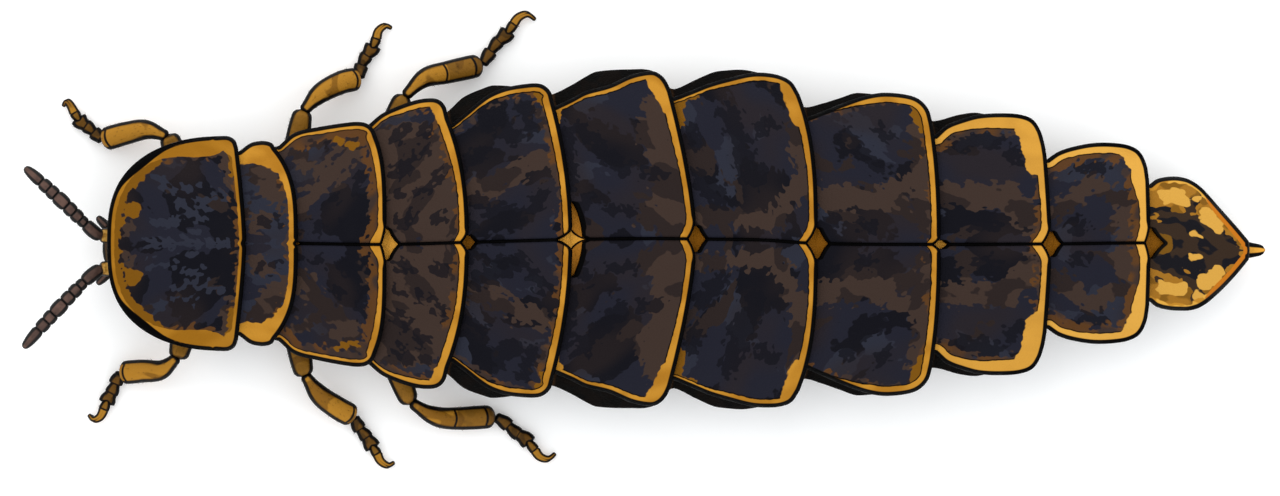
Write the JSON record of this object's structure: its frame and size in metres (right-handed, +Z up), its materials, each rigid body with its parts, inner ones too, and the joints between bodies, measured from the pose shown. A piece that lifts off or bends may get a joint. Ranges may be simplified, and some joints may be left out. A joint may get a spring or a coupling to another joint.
{
  "type": "glow-worm (wingless female firefly)",
  "caption": "Life-size still model of a glow-worm, the wingless female firefly: shield over the head, overlapping back plates, six legs spread on the floor, two feelers.",
  "frame": {"origin": "on the floor, on the flat underside of the third ring of the abdomen, on the animal's middle line", "axes": "+X towards the tail along the body, +Y towards the animal's right side, +Z up from the floor"},
  "size_m": [0.0268, 0.0098, 0.0034],
  "materials": {
    "shield": "satin dark horn with slate and brown mottling and an ochre margin",
    "plate": "satin dark horn with slate and brown mottling and ochre rims",
    "tail": "satin ochre horn with a dark marbled middle and an orange rim",
    "soft_skin": "leathery dark brown skin with ochre joints",
    "light_organ": "milky cream",
    "head": "polished dark brown horn",
    "eye": "black, finely faceted",
    "feeler": "finely haired brown",
    "leg": "satin ochre horn with dark brown feet and pale claws"
  },
  "bodies": {
    "root": {"pronotum": "shield", "mesonotum": "plate", "metanotum": "plate", "tergite_1": "plate", "tergite_2": "plate", "tergite_3": "plate", "tergite_4": "plate", "tergite_5": "plate", "tergite_6": "plate", "tergite_7": "plate", "tergite_8": "tail", "prothorax": "soft_skin", "mesothorax": "soft_skin", "metathorax": "soft_skin", "abdomen_1": "soft_skin", "abdomen_2": "soft_skin", "abdomen_3": "soft_skin", "abdomen_4": "soft_skin", "abdomen_5": "soft_skin", "abdomen_6": "soft_skin", "abdomen_7": "soft_skin", "abdomen_8": "soft_skin", "light_organ_6": "light_organ", "light_organ_7": "light_organ", "head": "head", "eye_left": "eye", "eye_right": "eye", "antenna_left": "feeler", "antenna_right": "feeler", "palp_left": "feeler", "palp_right": "feeler", "leg_front_left": "leg", "leg_front_right": "leg", "leg_middle_left": "leg", "leg_middle_right": "leg", "leg_hind_left": "leg", "leg_hind_right": "leg"}
  },
  "joints": []
}
